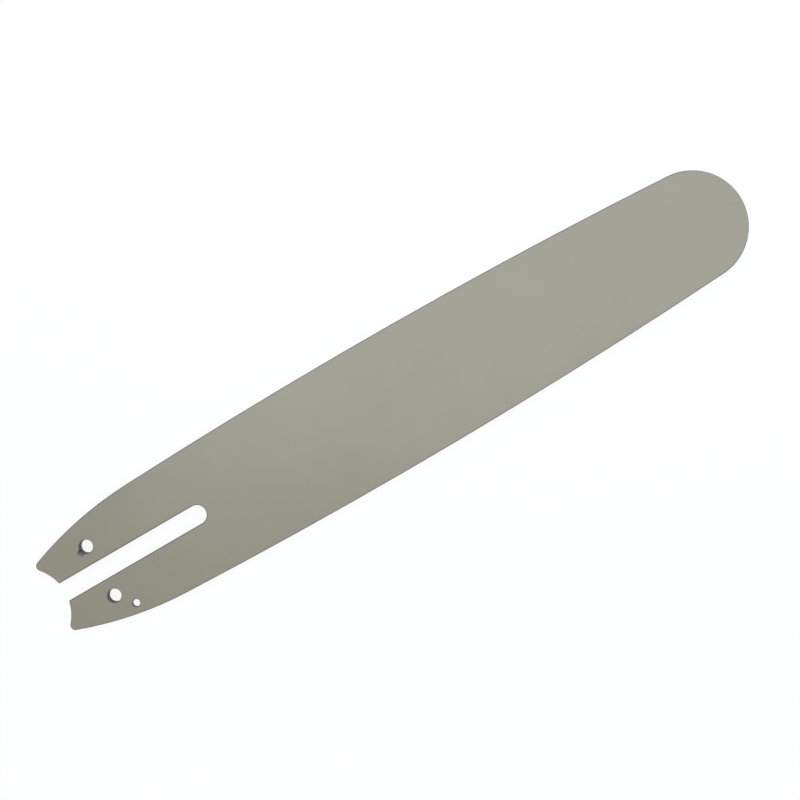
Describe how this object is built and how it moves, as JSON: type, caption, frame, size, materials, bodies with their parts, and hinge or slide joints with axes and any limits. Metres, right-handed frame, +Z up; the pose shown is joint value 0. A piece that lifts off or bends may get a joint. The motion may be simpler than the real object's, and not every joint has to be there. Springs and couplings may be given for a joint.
{
  "type": "chainsaw guide bar",
  "caption": "Flat solid-nose chainsaw guide bar: long bowed edges with a chain groove between rails, round nose, hollow tail with an open-ended stud slot and tension-pin holes.",
  "frame": {"origin": "under the middle of the bar, on the face it lies on", "axes": "+X along the bar to the round nose, +Y across the width to the arm without the oil hole, +Z up through the thickness"},
  "size_m": [0.48, 0.0812, 0.0047],
  "materials": {
    "bar_steel": "satin, fine bead-blasted grey with a slightly warm cast"
  },
  "bodies": {
    "root": {"guide_bar": "bar_steel"}
  },
  "joints": []
}
